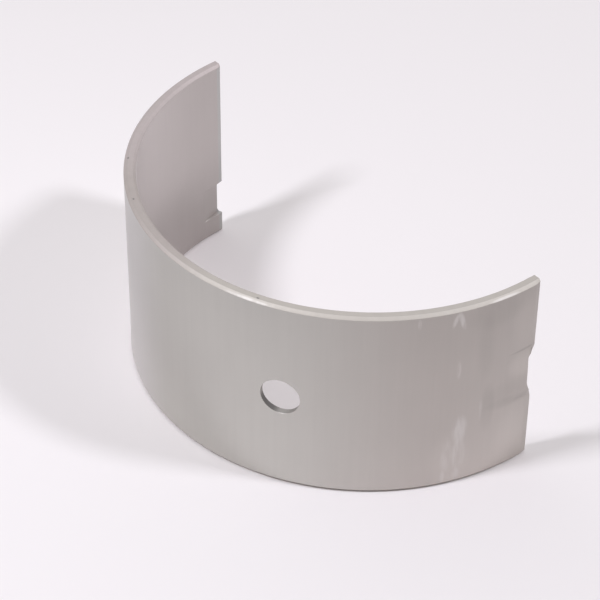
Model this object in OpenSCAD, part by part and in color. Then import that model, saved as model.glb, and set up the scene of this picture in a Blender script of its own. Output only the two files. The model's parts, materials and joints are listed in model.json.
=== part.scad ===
// Half shell of a plain engine bearing, standing on one end face with its axis upright.
// The axis is Z, the crown faces -Y and both joint faces look towards +Y.
// All sizes are in millimetres and degrees.

/* [Bore and wall] */
// Diameter of the journal that turns in the shell
journal_d = 102.5; // [70:0.5:140]
// Running clearance between journal and bore, across the diameter
running_clearance = 0.1; // [0.04:0.02:0.2]
// Wall thickness of the shell
wall = 2.7; // [2.3:0.1:4]
// Width of the shell along its axis
shell_width = 49; // [44:0.5:80]

/* [Edges] */
// Leg of the chamfer round the back at both end faces
back_chamfer = 0.65; // [0.2:0.05:0.9]
// Leg of the chamfer round the bore at both end faces
bore_chamfer = 0.6; // [0.2:0.05:0.9]
// Length of the eased strip beside each joint face
joint_ease_length = 1.3; // [0.5:0.1:2]
// Depth of the eased strip in the bore, at the joint face
bore_ease_depth = 0.3; // [0.1:0.05:0.5]
// Depth of the eased strip in the back, at the joint face
back_ease_depth = 0.25; // [0.1:0.05:0.5]

/* [Oil hole] */
// Diameter of the oil hole
oil_hole_d = 9; // [4:0.5:14]
// Angle from the crown to the oil hole, towards the right-hand joint face
oil_hole_angle = 28.5; // [-60:0.5:60]
// Depth of the countersink on the bore side of the oil hole
oil_hole_sink = 1.2; // [0.3:0.1:1.4]
// Leg of the edge break on the back of the oil hole
oil_hole_break = 0.1; // [0.05:0.05:0.4]

/* [Locating lugs] */
// Width of the pocket that the punch leaves in the bore
lug_pocket_width = 9.5; // [6:0.5:12]
// Depth of that pocket at the joint face
lug_pocket_depth = 1.2; // [0.6:0.1:1.6]
// Width of the raised lug where it leaves the back
lug_foot_width = 13.6; // [12:0.2:16]
// Width of the straight end of the lug, between its two slanting corners
lug_end_width = 7; // [4:0.5:10]
// Height of the lug over the back, carried on to the joint face
lug_height = 1.1; // [0.8:0.1:1.8]
// Length of the lug, from the joint face to where it fades into the back
lug_length = 8; // [6:0.5:12]
// Set-back of the lug's end from the joint face, level with the back
lug_back_setback = 1.8; // [1.3:0.1:2.5]
// Set-back of the lug's end from the joint face, at the floor of its pocket
lug_floor_setback = 1.05; // [0.2:0.05:1.2]
// Height of the left-hand lug's centre over the middle of the width
left_lug_z = -14.2; // [-14.5:0.1:14.5]
// Height of the right-hand lug's centre over the middle of the width
right_lug_z = 0.3; // [-14.5:0.1:14.5]

/* [Hidden] */
$fn = 180;

bore_r = (journal_d + running_clearance) / 2;
back_r = bore_r + wall;
half_width = shell_width / 2;
// Room by which each cutting tool runs past the face that it cuts
overrun = 3;

// Circle that a chord and its rise belong to
function arc_radius(chord, rise) = (pow(chord / 2, 2) + pow(rise, 2)) / (2 * rise);
// Second leg of a right triangle
function other_leg(hypotenuse, leg) = sqrt(pow(hypotenuse, 2) - pow(leg, 2));

// Section of the wall, with a chamfer on each of its four corners
module wall_section() {
    polygon([
        [bore_r, -half_width + bore_chamfer],
        [bore_r + bore_chamfer, -half_width],
        [back_r - back_chamfer, -half_width],
        [back_r, -half_width + back_chamfer],
        [back_r, half_width - back_chamfer],
        [back_r - back_chamfer, half_width],
        [bore_r + bore_chamfer, half_width],
        [bore_r, half_width - bore_chamfer]
    ]);
}

// Cylinder of the given radius, moved so that it leaves the circle of that radius about the axis
// at the lug's inner end and stands the given rise outside it at the joint face
module ramp_cylinder(radius, rise, height) {
    inner = [other_leg(radius, lug_length), -lug_length];
    outer = [radius + rise, 0];
    chord = outer - inner;
    inward = [-chord[1], chord[0]] / norm(chord);
    centre = (inner + outer) / 2 + inward * other_leg(radius, norm(chord) / 2);
    translate([centre[0], centre[1], 0])
        cylinder(r = radius, h = height, center = true);
}

// Raised back of a lug at the right-hand joint face: a rounded band that ramps up to the joint
module lug_back() {
    round_r = arc_radius(lug_foot_width, lug_height);
    root_x = bore_r + wall / 3;
    intersection() {
        ramp_cylinder(back_r, lug_height, lug_foot_width + overrun);
        rotate_extrude()
            translate([back_r + lug_height - round_r, 0])
                circle(r = round_r);
        translate([root_x, -lug_length, -lug_foot_width])
            cube([wall + lug_height, lug_length, 2 * lug_foot_width]);
    }
}

// Cut that sets the lug's end back from the joint face, further at the top than at the pocket,
// with a straight middle and two slanting corners that run out at the edges of the lug's foot
module lug_end_cut() {
    floor_x = bore_r + lug_pocket_depth;
    slant = atan((lug_back_setback - lug_floor_setback) / (back_r - floor_x));
    depth = lug_back_setback * cos(slant);
    corner_width = (lug_foot_width - lug_end_width) / 2;
    open_depth = depth + overrun;
    open_z = lug_end_width / 2 + corner_width * open_depth / depth;
    translate([back_r, -lug_back_setback, 0])
        rotate([0, 0, -slant])
            rotate([90, 0, 90])
                linear_extrude(height = 2 * (wall + overrun), center = true)
                    polygon([
                        [0, -lug_end_width / 2],
                        [open_depth, -open_z],
                        [open_depth, open_z],
                        [0, lug_end_width / 2]
                    ]);
}

// What the punch takes out of the wall at the right-hand joint face
module lug_cut() {
    ramp_cylinder(bore_r, lug_pocket_depth, lug_pocket_width);
    lug_end_cut();
}

// Strips eased off the bore and the back, beside the right-hand joint face
module joint_ease() {
    bore_x = other_leg(bore_r, joint_ease_length);
    back_x = other_leg(back_r, joint_ease_length);
    tool_height = shell_width + 2 * overrun;
    linear_extrude(height = tool_height, center = true)
        polygon([
            [bore_x, -joint_ease_length],
            [bore_r + bore_ease_depth, 0],
            [bore_r + bore_ease_depth, overrun],
            [bore_x - overrun, overrun],
            [bore_x - overrun, -joint_ease_length]
        ]);
    linear_extrude(height = tool_height, center = true)
        polygon([
            [back_x, -joint_ease_length],
            [back_r - back_ease_depth, 0],
            [back_r - back_ease_depth, overrun],
            [back_x + overrun, overrun],
            [back_x + overrun, -joint_ease_length]
        ]);
}

// Radial oil hole, countersunk in the bore and with a broken edge on the back
module oil_hole() {
    hole_r = oil_hole_d / 2;
    sink_end = bore_r + oil_hole_sink;
    break_start = back_r - oil_hole_break;
    rotate([0, 0, oil_hole_angle - 90])
        rotate([0, 90, 0]) {
            translate([0, 0, bore_r - overrun])
                cylinder(r = hole_r, h = wall + 2 * overrun);
            translate([0, 0, bore_r - overrun])
                cylinder(r1 = hole_r + oil_hole_sink + overrun, r2 = hole_r, h = sink_end - bore_r + overrun);
            translate([0, 0, break_start])
                cylinder(r1 = hole_r, r2 = hole_r + oil_hole_break + overrun, h = oil_hole_break + overrun);
        }
}

// The half that lies on the +Y side of the joint plane
module other_half() {
    side = 2 * (back_r + lug_height + overrun);
    translate([-side / 2, 0, -side / 2])
        cube([side, side, side]);
}

module bearing_shell() {
    color([0.68, 0.67, 0.65])
        difference() {
            union() {
                rotate_extrude()
                    wall_section();
                translate([0, 0, right_lug_z])
                    lug_back();
                translate([0, 0, left_lug_z])
                    mirror([1, 0, 0])
                        lug_back();
            }
            other_half();
            joint_ease();
            mirror([1, 0, 0])
                joint_ease();
            translate([0, 0, right_lug_z])
                lug_cut();
            translate([0, 0, left_lug_z])
                mirror([1, 0, 0])
                    lug_cut();
            oil_hole();
        }
}

bearing_shell();
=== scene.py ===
import json
import math
import bmesh
import bpy
import numpy as np
from mathutils import Matrix, Vector


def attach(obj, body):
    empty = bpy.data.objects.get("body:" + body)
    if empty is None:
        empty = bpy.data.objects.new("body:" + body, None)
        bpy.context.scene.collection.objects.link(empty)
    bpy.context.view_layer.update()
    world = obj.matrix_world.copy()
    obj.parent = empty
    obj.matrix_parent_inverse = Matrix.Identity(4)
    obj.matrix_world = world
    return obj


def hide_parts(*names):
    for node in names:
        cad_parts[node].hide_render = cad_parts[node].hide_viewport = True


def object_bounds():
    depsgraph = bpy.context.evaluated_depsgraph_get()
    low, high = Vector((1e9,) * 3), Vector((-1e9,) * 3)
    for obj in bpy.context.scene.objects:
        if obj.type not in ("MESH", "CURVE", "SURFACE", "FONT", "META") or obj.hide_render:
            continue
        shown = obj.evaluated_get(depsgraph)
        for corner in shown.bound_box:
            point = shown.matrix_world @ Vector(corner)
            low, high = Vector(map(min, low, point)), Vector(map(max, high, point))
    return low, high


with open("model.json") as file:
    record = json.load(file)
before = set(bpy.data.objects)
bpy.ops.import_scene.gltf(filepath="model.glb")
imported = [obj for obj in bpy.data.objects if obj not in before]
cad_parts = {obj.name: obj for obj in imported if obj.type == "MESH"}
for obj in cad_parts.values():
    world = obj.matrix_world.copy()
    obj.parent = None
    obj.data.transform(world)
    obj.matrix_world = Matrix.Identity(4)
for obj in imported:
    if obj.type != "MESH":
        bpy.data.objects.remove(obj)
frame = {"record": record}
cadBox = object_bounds()
print("frame loaded, box", [round(v, 5) for corner in cadBox for v in corner])

mounts = {m["name"]: m for m in frame["record"]["mounts"]}
mm = 0.001
repeats = 40                     # rounds in which a cut is found by repetition

# The shell: radii and width come from the frame, the other sizes are real ones
shell = {
    "halfWidth": (cadBox[1].z - cadBox[0].z) / 2,
    "inside": 0.015 * mm,        # held back from the solid's faceted outline
    "backChamfer": 0.65 * mm,
    "boreChamfer": 0.6 * mm,
    "edgeRound": 0.09 * mm,      # length taken off each side of a chamfer's corner
    "roundSteps": 5,
    "easeLength": 1.3 * mm,      # eased strip beside each joint face
    "boreEase": 0.3 * mm,
    "backEase": 0.25 * mm,
    "arcStep": 0.8 * mm,         # grid along the arc
    "endStep": 0.3 * mm,         # grid along the arc, over the lugs
    "rowStep": 0.5 * mm,         # grid across the width
    "flatSteps": 4,              # grid across the rim's flat
    "rimRow": 2.0 * mm,          # first even row of the grid, from the end face
}
boreR = mounts["journal_bore"]["dims"]["r_mm"] * mm
backR = mounts["housing_back"]["dims"]["r_mm"] * mm - shell["inside"]

lug = {
    "length": 8.0 * mm,
    "footWidth": 13.6 * mm,
    "endWidth": 7.0 * mm,
    "margin": 1.0 * mm,          # room past the lug that the finer grid covers
    "height": {-1: 1.1 * mm, 1: 1.08 * mm},
    "backSetback": 1.8 * mm,
    "floorSetback": 1.05 * mm,
    "pocketWidth": 9.5 * mm,
    "pocketDepth": 1.2 * mm,
    "pocketLength": 6.2 * mm,
    "wallDraft": 0.12 * mm,      # lean of the pocket's side walls
    "footBlend": 0.12 * mm,      # softness of the crease round the lug's foot
    "crease": 0.10 * mm,         # fold along the upper edge of the right-hand lug
    "creaseHalf": 0.40 * mm,
    "creaseReach": 2,            # rows of the grid run this many half widths past the fold
    "creaseRows": 9,
    "ridge": {                   # top, crest and foot of each lug, from its middle
        -1: (6.8 * mm, 0.0, -6.8 * mm),
        1: (7.1 * mm, -3.1 * mm, -6.8 * mm),
    },
    # right-hand end: where its upper soft corner starts and stops,
    # then where its lower one stops and starts
    "notch": (6.6 * mm, 4.0 * mm, -2.2 * mm, -8.8 * mm),
    "notchDeeper": 1.1,
}
lugZ = {-1: mounts["left_lug"]["pos_m"][2], 1: mounts["right_lug"]["pos_m"][2]}
lugZone = math.asin((lug["length"] + lug["margin"]) / backR)

holeAxis = mounts["oil_hole"]["axis"]
hole = {
    "radius": mounts["oil_hole"]["dims"]["r_mm"] * mm,
    "angle": math.atan2(holeAxis[1], holeAxis[0]) % (2 * math.pi),
    "sink": 1.2 * mm,            # countersink in the bore
    "breakEdge": 0.05 * mm,      # broken edge on the back
    "patch": 8.0 * mm,           # half side of the grid square that the hole replaces
    "rings": 10,
    "crowding": 1.4,             # how the rings draw together towards the hole's edge
}
# lengths and angle for joining the patches into one skin
weld = {"gap": 1e-6, "sliver": 1e-7, "sharp": math.radians(12)}


def gridLines(fixed, step):
    # evenly spaced values between each two fixed ones, none further apart than step
    slack = 1e-6
    fixed = np.unique(np.round(fixed, 9))
    counts = np.maximum(np.ceil(np.diff(fixed) / step - slack).astype(int), 1)
    runs = [np.linspace(a, b, n, endpoint=False) for a, b, n in zip(fixed, fixed[1:], counts)]
    return np.concatenate(runs + [fixed[-1:]])


def softMax(value, half):
    # the greater of value and zero, with a parabola of that half width over the corner
    near = (value + half) ** 2 / (4 * half)
    return np.where(np.abs(value) < half, near, np.maximum(value, 0))


def evenStep(value, start, stop):
    # nought at start and one at stop, with an even curve between them
    t = np.clip((value - start) / (stop - start), 0, 1)
    return t * t * (3 - 2 * t)


def lugRise(depth, z, side):
    # height of a lug over the back: a ramp that falls to nothing over its length times a parabola
    # across its width, less a shallow fold along the upper edge of the right-hand one
    top, crest, foot = lug["ridge"][side]
    across = (z - lugZ[side] - crest) / np.where(z - lugZ[side] > crest, top - crest, crest - foot)
    ramp = np.clip(1 - depth / lug["length"], 0, 1)
    rise = softMax(lug["height"][side] * (1 - across ** 2), lug["footBlend"] / 2) * ramp
    fold = np.exp(-((z - lugZ[side] - top) / lug["creaseHalf"]) ** 2) * lug["crease"] * ramp
    return rise - (fold if side > 0 else 0)


def pocketDrop(depth, z, side):
    # depth of the pocket behind a lug: a shorter ramp, between two steep side walls
    ramp = lug["pocketDepth"] * np.clip(1 - depth / lug["pocketLength"], 0, 1)
    inside = (lug["pocketWidth"] / 2 - np.abs(z - lugZ[side])) / lug["wallDraft"]
    return ramp * np.clip(inside, 0, 1)


def setBack(x, z, side):
    # how far the joint end lies behind the joint plane: a slanting plane through the lug's end,
    # run out by two slanting corners on the left and two soft ones on the right
    floorX = boreR + lug["pocketDepth"]
    slope = (lug["backSetback"] - lug["floorSetback"]) / (backR - floorX)
    plane = lug["floorSetback"] + (x - floorX) * slope
    across = z - lugZ[side]
    if side > 0:
        top, topStop, footStop, foot = lug["notch"]
        soft = evenStep(across, top, topStop) * evenStep(across, foot, footStop)
        return np.maximum(plane, 0) * lug["notchDeeper"] * soft
    corner = (lug["footWidth"] - lug["endWidth"]) / 2
    flank = np.maximum(np.abs(across) - lug["endWidth"] / 2, 0) / corner * lug["backSetback"]
    return np.maximum(plane - flank, 0)


def easedX(x, depth):
    # distance from the axis plane, held between the eased strips of bore and back
    share = np.clip(1 - depth / shell["easeLength"], 0, 1)
    boreX = np.sqrt(boreR ** 2 - shell["easeLength"] ** 2)
    backX = np.sqrt(backR ** 2 - shell["easeLength"] ** 2)
    lowest = np.where(share > 0, boreX + (boreR + shell["boreEase"] - boreX) * share, 0)
    highest = np.where(share > 0, backX + (backR - shell["backEase"] - backX) * share, 1)
    return np.clip(x, lowest, highest)


def place(angle, radius, z):
    # a point on the arc: angle about the axis, radius, height, with the eased strips applied
    x, y = radius * np.cos(angle), radius * np.sin(angle)
    x = np.sign(x) * easedX(np.abs(x), np.abs(y))
    return np.stack(np.broadcast_arrays(x, y, z), axis=-1)


def wallX(depth, z, side, onBack):
    # distance of the lug's outer or inner face from the axis plane, at a depth behind the joint
    radius = backR + lugRise(depth, z, side) if onBack else boreR + pocketDrop(depth, z, side)
    return easedX(np.sqrt(radius ** 2 - depth ** 2), depth)


def endDepth(z, side, onBack):
    # where that face meets the lug's end, found by repeating the set-back on its own result
    depth = np.zeros_like(z)
    for _ in range(repeats):
        depth = setBack(wallX(depth, z, side, onBack), z, side)
    return depth


def wallGrid(angles, rows, onBack):
    # back or bore on the grid of arc angles and heights; the angles beside each joint
    # are squeezed up to the lug's end, and lugs or pockets move the radius
    angle, z = np.meshgrid(angles, rows, indexing="ij")
    plainR = backR if onBack else boreR
    radius = np.full_like(angle, plainR)
    for side, joint in ((-1, math.pi), (1, 2 * math.pi)):
        away = np.abs(angle - joint)
        start = endDepth(rows, side, onBack)
        startAngle = np.arctan2(start, wallX(start, rows, side, onBack))
        moved = startAngle + (lugZone - startAngle) * away / lugZone
        inZone = away < lugZone
        away = np.where(inZone, moved, away)
        angle = np.where(inZone, joint - side * away, angle)
        depth = plainR * np.sin(np.minimum(away, math.pi / 2))
        radius = radius + (lugRise(depth, z, side) if onBack else pocketDrop(depth, z, side))
    return place(angle, radius, z)


def roundedRim():
    # half section of the rim from bore to back as (radius, height) points:
    # chamfer, flat, chamfer, with each corner rounded by a parabola between its two sides
    h, cut = shell["halfWidth"], shell["edgeRound"]
    corners = np.array([
        [boreR, h - shell["boreChamfer"] - 2 * cut],
        [boreR, h - shell["boreChamfer"]],
        [boreR + shell["boreChamfer"], h],
        [backR - shell["backChamfer"], h],
        [backR, h - shell["backChamfer"]],
        [backR, h - shell["backChamfer"] - 2 * cut],
    ])
    mid = corners[1:-1]
    before, after = corners[:-2] - mid, corners[2:] - mid
    start = mid + before / np.linalg.norm(before, axis=1, keepdims=True) * cut
    end = mid + after / np.linalg.norm(after, axis=1, keepdims=True) * cut
    t = np.linspace(0, 1, shell["roundSteps"] + 1)[None, :, None]
    arcs = (1 - t) ** 2 * start[:, None] + 2 * t * (1 - t) * mid[:, None] + t ** 2 * end[:, None]
    flat = np.linspace(arcs[1, -1], arcs[2, 0], shell["flatSteps"] + 1)[1:-1]
    return np.concatenate([arcs[0], arcs[1], flat, arcs[2], arcs[3]])


def capGrid(boreEnd, backEnd, rimEnds, side):
    # joint face: rows across the wall from bore to back, set back over the lug,
    # closed at both ends by the rims' own end points
    share = np.linspace(0, 1, rimEnds[0].shape[0])[None, :, None]
    cap = boreEnd[:, None] + (backEnd - boreEnd)[:, None] * share
    inner = cap[:, 1:-1]
    inner[..., 1] = -setBack(np.abs(inner[..., 0]), inner[..., 2], side)
    return np.concatenate([rimEnds[0][None], cap, rimEnds[1][None]])


def holeRings(border, psi, radius, edge):
    # O-grid from the square's border to the edge of the hole, laid on the cylinder:
    # straight lines in the plane across the hole's axis, closer together towards the edge
    t = (1 - (1 - np.linspace(0, 1, hole["rings"] + 1)) ** hole["crowding"])[:, None]
    u = border[0] + (edge * np.cos(psi) - border[0]) * t
    z = border[1] + (edge * np.sin(psi) - border[1]) * t
    return place(hole["angle"] + np.arcsin(u / radius), np.full_like(u, radius), z)


def holeEdge(psi, radius, start, grow):
    # radius at which a cone about the hole's axis meets the cylinder, found by repetition:
    # the cone is as wide as the hole at start and widens one for one along grow
    edge = np.full_like(psi, hole["radius"])
    for _ in range(repeats):
        along = np.sqrt(radius ** 2 - (edge * np.cos(psi)) ** 2)
        edge = np.maximum(hole["radius"] + grow * (along - start), hole["radius"])
    return edge


def holeWall(psi, backEdge, boreEdge):
    # the hole's own surface: edge on the back, broken edge, straight wall, countersink and
    # edge in the bore; where the back lies below the broken edge, the wall starts at the back
    straight = np.full_like(psi, hole["radius"])
    wide = np.stack([backEdge, straight, straight, boreEdge])
    backAlong = np.sqrt(backR ** 2 - (backEdge * np.cos(psi)) ** 2)
    along = np.stack([
        backAlong,
        np.minimum(backAlong, backR - hole["breakEdge"]),
        np.full_like(psi, boreR + hole["sink"]),
        np.sqrt(boreR ** 2 - (boreEdge * np.cos(psi)) ** 2),
    ])
    u, z = wide * np.cos(psi), wide * np.sin(psi)
    c, s = math.cos(hole["angle"]), math.sin(hole["angle"])
    return np.stack([along * c - u * s, along * s + u * c, z], axis=-1)


def gridFaces(shape, wrap=False):
    # four-sided faces of a grid of points, as rows of point numbers
    n, m = shape[:2]
    number = np.arange(n * m).reshape(n, m)
    if wrap:
        number = np.concatenate([number, number[:, :1]], axis=1)
    a, b, c, d = number[:-1, :-1], number[1:, :-1], number[1:, 1:], number[:-1, 1:]
    return np.stack([a, b, c, d], axis=-1)


def shellMesh():
    # every patch is a grid; they meet point for point and are welded into one closed skin
    h = shell["halfWidth"]
    rim = roundedRim()
    patchAngle = math.asin(hole["patch"] / backR)
    holeA = [hole["angle"] - patchAngle, hole["angle"] + patchAngle]
    endAngles = gridLines(np.array([0, shell["easeLength"] / backR, lugZone]), shell["endStep"] / backR)
    middle = gridLines([math.pi + lugZone, *holeA, 2 * math.pi - lugZone], shell["arcStep"] / backR)
    angles = np.concatenate([math.pi + endAngles, middle[1:-1], 2 * math.pi - endAngles[::-1]])
    wall = lug["pocketWidth"] / 2
    steps = [wall, wall - lug["wallDraft"], lug["endWidth"] / 2, lug["footWidth"] / 2]
    fixed = [lugZ[s] + k * v for s in lugZ for v in steps for k in (-1, 1)]
    reach = lug["creaseReach"] * lug["creaseHalf"]
    fold = lugZ[1] + lug["ridge"][1][0] + np.linspace(-reach, reach, lug["creaseRows"])
    fixed += fold.tolist() + [lugZ[1] + v for v in lug["notch"]]
    fixed += [-hole["patch"], hole["patch"], shell["rimRow"] - h, h - shell["rimRow"]]
    inner = gridLines(fixed, shell["rowStep"])
    boreRows = np.concatenate([[-rim[0, 1]], inner, [rim[0, 1]]])
    backRows = np.concatenate([[-rim[-1, 1]], inner, [rim[-1, 1]]])

    back = wallGrid(angles, backRows, True)
    bore = wallGrid(angles, boreRows, False)
    rims = [place(angles[:, None], rim[None, :, 0], side * rim[None, :, 1]) for side in (-1, 1)]
    caps = [capGrid(bore[i], back[i], [r[i] for r in rims], side) for i, side in ((0, -1), (-1, 1))]

    # the hole: leave out the grid's square and fit rings into it
    tiny = 1e-7
    i0, i1 = np.searchsorted(angles, np.array(holeA) - tiny)
    j0, j1 = np.searchsorted(inner, np.array([-hole["patch"], hole["patch"]]) - tiny) + 1
    goI, goJ = np.arange(i0, i1), np.arange(j0, j1)
    ringI = np.concatenate([goI, np.full(len(goJ), i1), goI[::-1] + 1, np.full(len(goJ), i0)])
    ringJ = np.concatenate([np.full(len(goI), j0), goJ, np.full(len(goI), j1), goJ[::-1] + 1])
    turn = np.sin(angles[ringI] - hole["angle"])
    psi = np.arctan2(backRows[ringJ], backR * turn)
    backEdge = holeEdge(psi, backR, backR - hole["breakEdge"], 1)
    boreEdge = holeEdge(psi, boreR, boreR + hole["sink"], -1)
    rings = [
        holeRings((backR * turn, backRows[ringJ]), psi, backR, backEdge),
        holeRings((boreR * turn, boreRows[ringJ]), psi, boreR, boreEdge),
        holeWall(psi, backEdge, boreEdge),
    ]
    keep = np.ones((len(angles) - 1, len(backRows) - 1), bool)
    keep[i0:i1, j0:j1] = False

    patches = [(back, False, keep), (bore, False, keep)]
    patches += [(p, False, None) for p in rims + caps]
    patches += [(p, True, None) for p in rings]
    points, faces, count = [], [], 0
    for patch, wrap, kept in patches:
        quads = gridFaces(patch.shape, wrap)
        faces.append((quads[kept] if kept is not None else quads.reshape(-1, 4)) + count)
        points.append(patch.reshape(-1, 3))
        count += len(points[-1])
    return np.concatenate(points), np.concatenate(faces)


def weldedMesh(name, points, faces):
    mesh = bpy.data.meshes.new(name)
    mesh.from_pydata(points.tolist(), [], faces.tolist())
    bm = bmesh.new()
    bm.from_mesh(mesh)
    bmesh.ops.remove_doubles(bm, verts=bm.verts, dist=weld["gap"])
    bmesh.ops.dissolve_degenerate(bm, edges=bm.edges, dist=weld["sliver"])
    bmesh.ops.recalc_face_normals(bm, faces=bm.faces)
    openEdges = sum(1 for e in bm.edges if len(e.link_faces) != 2)
    volume = bm.calc_volume(signed=True)
    bm.to_mesh(mesh)
    bm.free()
    mesh.shade_smooth()
    mesh.set_sharp_from_angle(angle=weld["sharp"])
    print(name, len(mesh.polygons), "faces,", openEdges, "open edges,", round(volume / mm ** 3, 1), "mm3")
    return mesh


# A shader socket that adds up like a number: each operator on one adds a Math node
class Socket:
    def __init__(self, tree, out=None):
        self.tree = tree
        self.out = out

    def node(self, kind, inputs, output=0, **settings):
        made = self.tree.nodes.new("ShaderNode" + kind)
        for key, value in settings.items():
            setattr(made, key, value)
        for key, value in inputs.items():
            if isinstance(value, Socket):
                self.tree.links.new(value.out, made.inputs[key])
            else:
                made.inputs[key].default_value = value
        return Socket(self.tree, made.outputs[output])

    def also(self, output):
        return Socket(self.tree, self.out.node.outputs[output])

    def math(self, operation, *values):
        return self.node("Math", dict(enumerate(values)), operation=operation)

    def __add__(self, other):
        return self.math("ADD", self, other)

    def __radd__(self, other):
        return self.math("ADD", other, self)

    def __sub__(self, other):
        return self.math("SUBTRACT", self, other)

    def __rsub__(self, other):
        return self.math("SUBTRACT", other, self)

    def __mul__(self, other):
        return self.math("MULTIPLY", self, other)

    def __rmul__(self, other):
        return self.math("MULTIPLY", other, self)

    def __truediv__(self, other):
        return self.math("DIVIDE", self, other)

    def __rtruediv__(self, other):
        return self.math("DIVIDE", other, self)


# The metal: tones as written on the plated steel, lengths in millimetres, arcs along the back
# from the right-hand joint; a pair is where a change starts and where it is complete
metal = {
    "end": (0.475, 0.443, 0.416, 1),        # back, towards the right-hand joint
    "crown": (0.530, 0.519, 0.488, 1),      # back, round the crown
    "crownArcs": (22, 62),
    "far": (0.585, 0.571, 0.557, 1),        # back, past the crown, made paler as a painted reflection
    "farArcs": (88, 106),
    "foot": 0.0034,                         # painted reflection of the bright floor: how much paler the back gets, per millimetre down
    "endFoot": 0.006,                       # more painted reflection, added at the foot of the right-hand end
    "endFootArcs": (25, 5),
    "bore": (0.49, 0.455, 0.44, 1),         # bore, at the left-hand joint
    "boreFar": (0.583, 0.541, 0.527, 1),    # bore, towards the crown
    "boreArcs": (166, 134),
    "boreLow": 0.07,                        # painted shade: how much darker the bore is below its middle, where it mirrors the shadowed floor
    "boreLowTop": (2, -8),                  # heights over which that sets in
    "boreLowFoot": (-22, -10),              # and over which it is lost again
    "wallBlend": 0.5,                       # half depth over which the bore's tone gives way
    "eased": (0.475, 0.47, 0.46, 1),        # eased strip of the bore, beside the joints
    "easedBlend": 0.4,
    "cloud": 0.05,                          # swing of the broad tone
    "cloudScale": 0.05,
    "streak": 0.035,                        # swing of the streaks along the axis
    "streakScale": 0.9,
    "streakStretch": (1, 0.035, 1),
    "pale": (0.70, 0.68, 0.66, 1),          # rubbed smears, and painted highlights on the rim's outer edge
    "strokeScale": 0.9,                     # strokes that the smears are broken up into
    "strokeStretch": (1, 0.2, 1),
    "strokeBreak": (-0.45, 0.30),
    "rim": (0.519, 0.493, 0.457, 1),
    "rimFar": (0.475, 0.437, 0.415, 1),     # rim, just past the crown
    "rimFarArcs": (72, 92),
    "rimEnd": (0.517, 0.470, 0.460, 1),     # rim, towards the left-hand joint
    "rimEndArcs": (112, 130),
    "rimBlend": (-0.08, 0.02),              # heights about the chamfer's lower edge
    "mottleScale": 0.45,
    "rimMottle": 0.06,                      # swing of the rim's tone
    "rimRagged": 0.10,                      # how far its lower edge wanders
    "seam": 0.10,                           # painted shade: a darker line along the edge between the rim's flat and its outer chamfer
    "seamInset": 0.1,
    "seamWidths": (0.28, 0.05),
    "wornInset": 0.15,                      # middle of the painted highlights, from the back
    "wornHalf": 0.35,
    "wornBreak": (-0.7, 0.1),
    "fleck": (0.26, 0.25, 0.24, 1),
    "fleckHalf": (0.45, 0.3),               # half arc and half depth
    "corner": 0.16,                         # strength of the painted shade in the pocket's lower corner
    "cornerWidths": (0.6, 0.15),
    "cornerArcs": (150, 156),
    "cornerDepths": (0.01, 0.15),
    "drilled": (0.43, 0.415, 0.395, 1),     # bare wall of the oil hole
    # dark tone for painted shade, in the oil hole's wall and the pocket's lower corner
    "drilledDark": (0.215, 0.205, 0.20, 1),
    "drilledReach": (1.6, 1.5),             # past the hole's radius, over the countersink
    "drilledInner": (0.02, 0.1),            # depths above the bore
    "drilledOuter": (0.02, 0.06),           # depths below the back
    "soiledSide": (0.7, 0.71),              # painted shade: side of the hole's wall that is darker
    "soiledPlace": (-3.2, -4.3),
    "roughness": 0.40,
    "rimRoughness": 0.70,
    "drilledRoughness": 0.6,
    "roughStreak": 0.03,                    # swings of the roughness
    "roughCloud": 0.04,
    "roughGrain": 0.015,
    "roughRubbed": 0.12,
    "grainScale": 2.2,
    "grainShare": 0.5,
    "brushScale": 4.0,                      # brush marks along the axis
    "grainDepth": 0.004,
}
# rubbed smears on the back: arc, height, half arc, half height, change of arc per height, strength
smears = (
    (28.8, 22.2, 0.5, 1.8, 0.0, 0.34),
    (21.0, 21.7, 0.7, 2.3, -0.30, 0.50),
    (19.5, 21.4, 0.8, 2.9, 0.24, 0.60),
    (19.6, 8.0, 0.6, 3.0, 0.0, 0.38),
    (18.6, -9.0, 2.2, 4.8, 0.0, 0.52),
    (18.5, -16.5, 1.9, 5.8, 0.0, 0.50),
    (21.5, -16.0, 1.6, 5.8, 0.0, 0.34),
    (22.0, -22.0, 0.7, 2.0, 0.0, 0.42),
    (18.8, -21.8, 1.3, 1.8, 0.0, 0.42),
    (13.8, -4.5, 0.5, 4.5, 0.0, 0.25),
)
# painted shade and highlight on the right-hand lug's flanks and fold, and other darker and paler places
# round it:
# arc, height, half arc, half height, rise per length of arc, change of tone
lugShadingAndPatches = (
    (12.2, -5.0, 2.3, 8.0, 0.0, -0.07),
    # painted shade along the lug's lower flank, which faces down (this row and the next)
    (6.5, -3.6, 8.5, 4.4, 0.12, -0.055),
    (6.5, -5.8, 8.5, 1.8, 0.08, -0.050),
    (3.0, 14.5, 5.0, 9.0, 0.0, 0.05),
    # painted highlight on the lug's upper flank, which faces up
    (3.4, 3.6, 5.0, 3.9, 0.0, 0.10),
    # painted shade along the fold at the lug's upper edge
    (3.4, 7.3, 4.6, 0.32, 0.0, -0.13),
    (11.0, 21.0, 9.0, 5.0, 0.0, -0.05),
    (13.2, 12.5, 2.6, 11.0, 0.0, -0.045),
    (5.0, -17.0, 6.0, 10.0, 0.0, 0.06),
    (20.5, -17.5, 6.0, 9.0, 0.0, 0.05),
)
# painted highlights on the rim's outer edge, where the two lamps are mirrored: arc, half arc, strength
paintedHighlights = ((65.5, 7.0, 0.9), (9.5, 4.5, 0.7))
# small dark flecks on the rim: arc, radius
flecks = ((124.6, 53.1), (109.0, 52.9), (63.4, 53.05))


def smooth(value, low, high):
    # nought at low and one at high, with an even curve between them
    limits = {"Value": value, "From Min": low, "From Max": high}
    return value.node("MapRange", limits, interpolation_type="SMOOTHSTEP")


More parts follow.
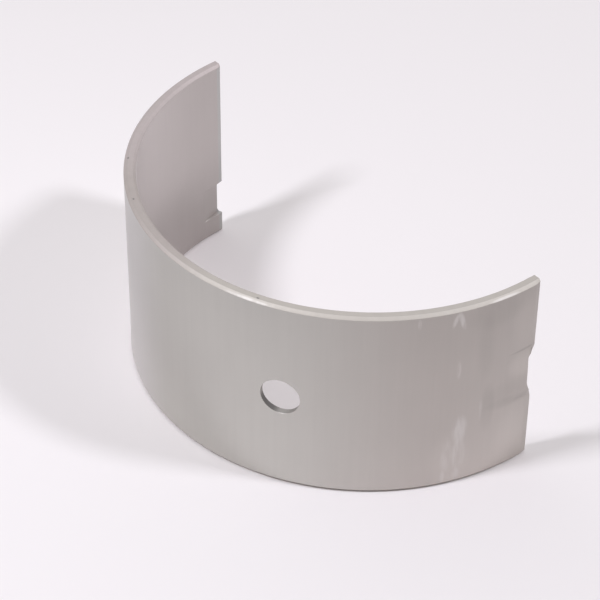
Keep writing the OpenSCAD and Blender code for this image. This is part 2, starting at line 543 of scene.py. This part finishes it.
def blend(first, second, factor, kind="MIX"):
    # mixes two colours, of which one or the factor is a socket
    owner = next(v for v in (factor, first, second) if isinstance(v, Socket))
    return owner.node("Mix", {0: factor, 6: first, 7: second}, 2, data_type="RGBA", blend_type=kind)


def noise(vector, scale, detail):
    # noise that swings evenly about nought
    made = vector.node("TexNoise", {"Vector": vector, "Scale": scale, "Detail": detail})
    return made * 2 - 1


def spot(u, v, centre, half):
    # one in the middle of an oval patch, falling to nought at its edge
    across = (u - centre[0]) / half[0]
    along = (v - centre[1]) / half[1]
    return smooth(across * across + along * along, 1, 0)


def shellMetal():
    material = bpy.data.materials.new("shell_metal")
    material.use_nodes = True
    tree = material.node_tree
    shader = tree.nodes["Principled BSDF"]
    start = Socket(tree)
    coords = start.node("TexCoord", {}, "Object")
    point = start.node("VectorMath", {0: coords, "Scale": 1 / mm}, operation="SCALE")
    x = start.node("SeparateXYZ", {0: point}, "X")
    y, z = x.also("Y"), x.also("Z")
    squares = x * x + y * y
    radius = squares.math("SQRT", squares)
    arc = start.math("ARCTAN2", 0 - y, x) * (backR / mm)
    unrolled = start.node("CombineXYZ", {0: arc, 1: z, 2: radius})

    # tone: cooler at the crown, warmer at the end, clouded and streaked along the axis; painted
    # reflection makes the back paler past the crown and towards its foot, painted shade makes the bore
    # darker low down
    boreMm, backMm = boreR / mm, backR / mm
    middle = (boreMm + backMm) / 2
    onBack = smooth(radius, middle - metal["wallBlend"], middle + metal["wallBlend"])
    cloud = noise(point, metal["cloudScale"], 2)
    stretched = start.node("VectorMath", {0: unrolled, 1: metal["streakStretch"]}, operation="MULTIPLY")
    streak = noise(stretched, metal["streakScale"], 3)
    # painted reflection of the floor: the back gets paler downwards, more at the foot of the right-hand
    # end
    endFoot = start.math("MINIMUM", z, 0) * smooth(arc, *metal["endFootArcs"]) * metal["endFoot"]
    tone = cloud * metal["cloud"] + streak * metal["streak"] + 1
    change = 0 - z * metal["foot"] - endFoot
    # painted shade and highlight on the right-hand lug, and other darker and paler places
    for patchArc, patchZ, halfArc, halfHeight, lean, strength in lugShadingAndPatches:
        level = z - (arc - patchArc) * lean
        change = spot(arc, level, (patchArc, patchZ), (halfArc, halfHeight)) * strength + change
    # painted shade: the bore darker below its middle
    boreLow = smooth(z, *metal["boreLowTop"]) * smooth(z, *metal["boreLowFoot"]) * metal["boreLow"]
    tone = tone + change * onBack - boreLow * (1 - onBack)
    back = blend(metal["end"], metal["crown"], smooth(arc, *metal["crownArcs"]))
    back = blend(back, metal["far"], smooth(arc, *metal["farArcs"]))
    bore = blend(metal["bore"], metal["boreFar"], smooth(arc, *metal["boreArcs"]))
    easeLength = shell["easeLength"] / mm
    eased = smooth(start.math("ABSOLUTE", y), easeLength, easeLength - metal["easedBlend"])
    colour = blend(blend(bore, metal["eased"], eased), back, onBack)
    colour = blend(colour, tone, 1, "MULTIPLY")

    # rubbed smears, broken up into short strokes
    strokes = start.node("VectorMath", {0: unrolled, 1: metal["strokeStretch"]}, operation="MULTIPLY")
    fine = smooth(noise(strokes, metal["strokeScale"], 3), *metal["strokeBreak"])
    rubbed = 0
    for smearArc, smearZ, halfArc, halfHeight, lean, strength in smears:
        across = arc - (z - smearZ) * lean
        rubbed = spot(across, z, (smearArc, smearZ), (halfArc, halfHeight)) * strength + rubbed
    rubbed = rubbed * fine * onBack
    colour = blend(colour, metal["pale"], rubbed)

    # rim: turned faces with a painted shade line along one edge, painted highlights on the outer edge and
    # small dark flecks
    offMiddle = start.math("ABSOLUTE", z)
    edge = (shell["halfWidth"] - shell["backChamfer"]) / mm
    mottle = noise(unrolled, metal["mottleScale"], 3)
    rim = smooth(offMiddle + mottle * metal["rimRagged"], *(edge + v for v in metal["rimBlend"]))
    rimColour = blend(metal["rim"], metal["rimFar"], smooth(arc, *metal["rimFarArcs"]))
    rimColour = blend(rimColour, metal["rimEnd"], smooth(arc, *metal["rimEndArcs"]))
    rimColour = blend(rimColour, mottle * metal["rimMottle"] + 1, 1, "MULTIPLY")
    colour = blend(colour, rimColour, rim)
    edgeShadeRadius = backMm - shell["backChamfer"] / mm - metal["seamInset"]
    seam = smooth(start.math("ABSOLUTE", radius - edgeShadeRadius), *metal["seamWidths"])
    colour = blend(colour, metal["fleck"], seam * rim * metal["seam"])
    highlightRadius = backMm - metal["wornInset"]
    broken = smooth(mottle, *metal["wornBreak"])
    # painted highlights where the lamps are mirrored in the outer chamfer
    for highlightArc, halfArc, strength in paintedHighlights:
        edgeHighlight = spot(arc, radius, (highlightArc, highlightRadius), (halfArc, metal["wornHalf"]))
        colour = blend(colour, metal["pale"], edgeHighlight * rim * broken * strength)
    for fleck in flecks:
        colour = blend(colour, metal["fleck"], spot(arc, radius, fleck, metal["fleckHalf"]) * rim)

    # painted shade in the lower corner of the pocket behind the left-hand lug
    shadedCornerZ = (lugZ[-1] - lug["pocketWidth"] / 2) / mm
    corner = smooth(start.math("ABSOLUTE", z - shadedCornerZ), *metal["cornerWidths"])
    corner = corner * smooth(arc, *metal["cornerArcs"])
    corner = corner * smooth(radius, *(boreMm + v for v in metal["cornerDepths"])) * (1 - onBack)
    colour = blend(colour, metal["drilledDark"], corner * metal["corner"])

    # oil hole: bare drilled wall and countersink, with painted shade on one side of the wall
    c, s = math.cos(hole["angle"]), math.sin(hole["angle"])
    u = y * c - x * s
    wide = start.math("SQRT", u * u + z * z)
    nearHole = smooth(wide, *(hole["radius"] / mm + v for v in metal["drilledReach"]))
    aboveBore = smooth(radius, *(boreMm + v for v in metal["drilledInner"]))
    belowBack = smooth(radius, *(backMm - v for v in metal["drilledOuter"]))
    drilled = nearHole * aboveBore * belowBack
    # painted shade on one side of the hole's wall
    shadeU, shadeZ = metal["soiledSide"]
    holeShade = smooth(u * shadeU + z * shadeZ, *metal["soiledPlace"])
    colour = blend(colour, blend(metal["drilled"], metal["drilledDark"], holeShade), drilled)

    grain = noise(point, metal["grainScale"], 3)
    roughness = streak * metal["roughStreak"] + cloud * metal["roughCloud"] + metal["roughness"]
    roughness = roughness + grain * metal["roughGrain"] + rubbed * metal["roughRubbed"]
    roughness = roughness + rim * (metal["rimRoughness"] - metal["roughness"])
    roughness = roughness + drilled * (metal["drilledRoughness"] - metal["roughness"])
    relief = grain * metal["grainShare"] + noise(stretched, metal["brushScale"], 2)
    bump = start.node("Bump", {"Strength": 1, "Distance": metal["grainDepth"] * mm, "Height": relief})

    tree.links.new(colour.out, shader.inputs["Base Color"])
    tree.links.new(roughness.out, shader.inputs["Roughness"])
    tree.links.new(bump.out, shader.inputs["Normal"])
    shader.inputs["Metallic"].default_value = 1
    return material


points, faces = shellMesh()
shellPiece = bpy.data.objects.new("half_shell", weldedMesh("half_shell", points, faces))
bpy.context.scene.collection.objects.link(shellPiece)
shellPiece.data.materials.append(shellMetal())
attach(shellPiece, "root")
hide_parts("bearing_shell")

# Floor paper: a little paler away from the lamps, which stand near
paper = {
    "half": 4.0,
    "colour": (0.912, 0.871, 0.877, 1),
    "paler": (-0.30, 0.20, 0),           # change of tone per metre
    "toneLimits": (0.95, 1.05),
    "roughness": 0.9,
    "shine": 0.1,
}


def makeFloor():
    z = cadBox[0].z
    half = paper["half"]
    mesh = bpy.data.meshes.new("floor")
    corners = [(-half, -half, z), (half, -half, z), (half, half, z), (-half, half, z)]
    mesh.from_pydata(corners, [], [(0, 1, 2, 3)])
    floor = bpy.data.objects.new("floor", mesh)
    bpy.context.scene.collection.objects.link(floor)
    material = bpy.data.materials.new("floor_paper")
    material.use_nodes = True
    tree = material.node_tree
    shader = tree.nodes["Principled BSDF"]
    start = Socket(tree)
    coords = start.node("TexCoord", {}, "Object")
    change = start.node("VectorMath", {0: coords, 1: paper["paler"]}, "Value", operation="DOT_PRODUCT")
    darkest, palest = paper["toneLimits"]
    tone = start.node("Clamp", {"Value": change + 1, "Min": darkest, "Max": palest})
    colour = blend(paper["colour"], tone, 1, "MULTIPLY")
    tree.links.new(colour.out, shader.inputs["Base Color"])
    shader.inputs["Roughness"].default_value = paper["roughness"]
    shader.inputs["Specular IOR Level"].default_value = paper["shine"]
    mesh.materials.append(material)


makeFloor()
print("floor laid")

# Two small lamps, which give the two shadows: place in metres, size across and power
lampTint = (0.97, 0.98, 1.05)
lamps = {
    "back_right": {"place": (0.471, 0.284, 0.6985), "size": 0.12, "power": 2.52},
    "front": {"place": (-0.080, -0.346, 0.4485), "size": 0.09, "power": 1.384},
}


def makeLamps():
    for name, lamp in lamps.items():
        data = bpy.data.lights.new(name, "AREA")
        data.shape = "DISK"
        data.size = lamp["size"]
        data.energy = lamp["power"]
        data.color = lampTint
        piece = bpy.data.objects.new(name, data)
        piece.location = lamp["place"]
        piece.rotation_mode = "QUATERNION"
        piece.rotation_quaternion = Vector(lamp["place"]).to_track_quat("Z", "Y")
        bpy.context.scene.collection.objects.link(piece)


makeLamps()

# The room: pale to the camera and in the metal; what it sheds on the floor is a soft glow,
# each part of it given by the direction it comes from, how narrow it is and its strength
room = {
    "seen": 0.9,
    "seenTint": (0.99, 0.965, 0.985, 1),
    "glowTint": (1, 0.99, 0.975, 1),
    "glow": (
        ((0, 0, 1), 2, 0.385),
        ((0, 0.906, 0.423), 3, 0.48),
        ((-0.906, 0, 0.423), 3, 0.77),
        ((0, -0.906, 0.423), 3, 0.06),
    ),
}


def makeRoom():
    world = bpy.data.worlds.new("studio")
    world.use_nodes = True
    tree = world.node_tree
    start = Socket(tree)
    direct = start.node("LightPath", {}, "Is Camera Ray")
    glossy, through = direct.also("Is Glossy Ray"), direct.also("Is Transmission Ray")
    seen = start.math("MAXIMUM", start.math("MAXIMUM", direct, glossy), through)
    direction = start.node("TexCoord", {}, "Generated")
    glow = 0
    for towards, narrow, strength in room["glow"]:
        facing = start.node("VectorMath", {0: direction, 1: towards}, "Value", operation="DOT_PRODUCT")
        glow = start.math("POWER", start.math("MAXIMUM", facing, 0), narrow) * strength + glow
    level = seen * room["seen"] + (1 - seen) * glow
    tint = blend(room["glowTint"], room["seenTint"], seen)
    background = tree.nodes["Background"]
    tree.links.new(tint.out, background.inputs["Color"])
    tree.links.new(level.out, background.inputs["Strength"])
    bpy.context.scene.world = world


makeRoom()
print("lamps and room set")

# The camera, fitted to the photo: place in metres, turn about the upright, lift and roll in degrees,
# lens and sensor in millimetres, nearest and furthest sight in metres
camera = {
    "eye": (304.371 * mm, -286.49 * mm, 327.213 * mm),
    "turn": 48.735,
    "lift": 39.32,
    "roll": 0.65,
    "lens": 139.44,
    "sensor": 36.0,
    "clip": (0.01, 20),
}


def makeCamera():
    data = bpy.data.cameras.new("camera")
    data.sensor_width = camera["sensor"]
    data.lens = camera["lens"]
    data.clip_start, data.clip_end = camera["clip"]
    turn, lift, roll = (math.radians(camera[k]) for k in ("turn", "lift", "roll"))
    back = Vector((math.sin(turn) * math.cos(lift), -math.cos(turn) * math.cos(lift), math.sin(lift)))
    level = Vector((math.cos(turn), math.sin(turn), 0))
    upright = back.cross(level)
    right = level * math.cos(roll) + upright * math.sin(roll)
    up = back.cross(right)
    piece = bpy.data.objects.new("camera", data)
    turned = Matrix((right, up, back)).transposed().to_4x4()
    piece.matrix_world = Matrix.Translation(camera["eye"]) @ turned
    bpy.context.scene.collection.objects.link(piece)
    bpy.context.scene.camera = piece


makeCamera()
print("camera placed")
bpy.context.scene.view_settings.view_transform = "Standard"
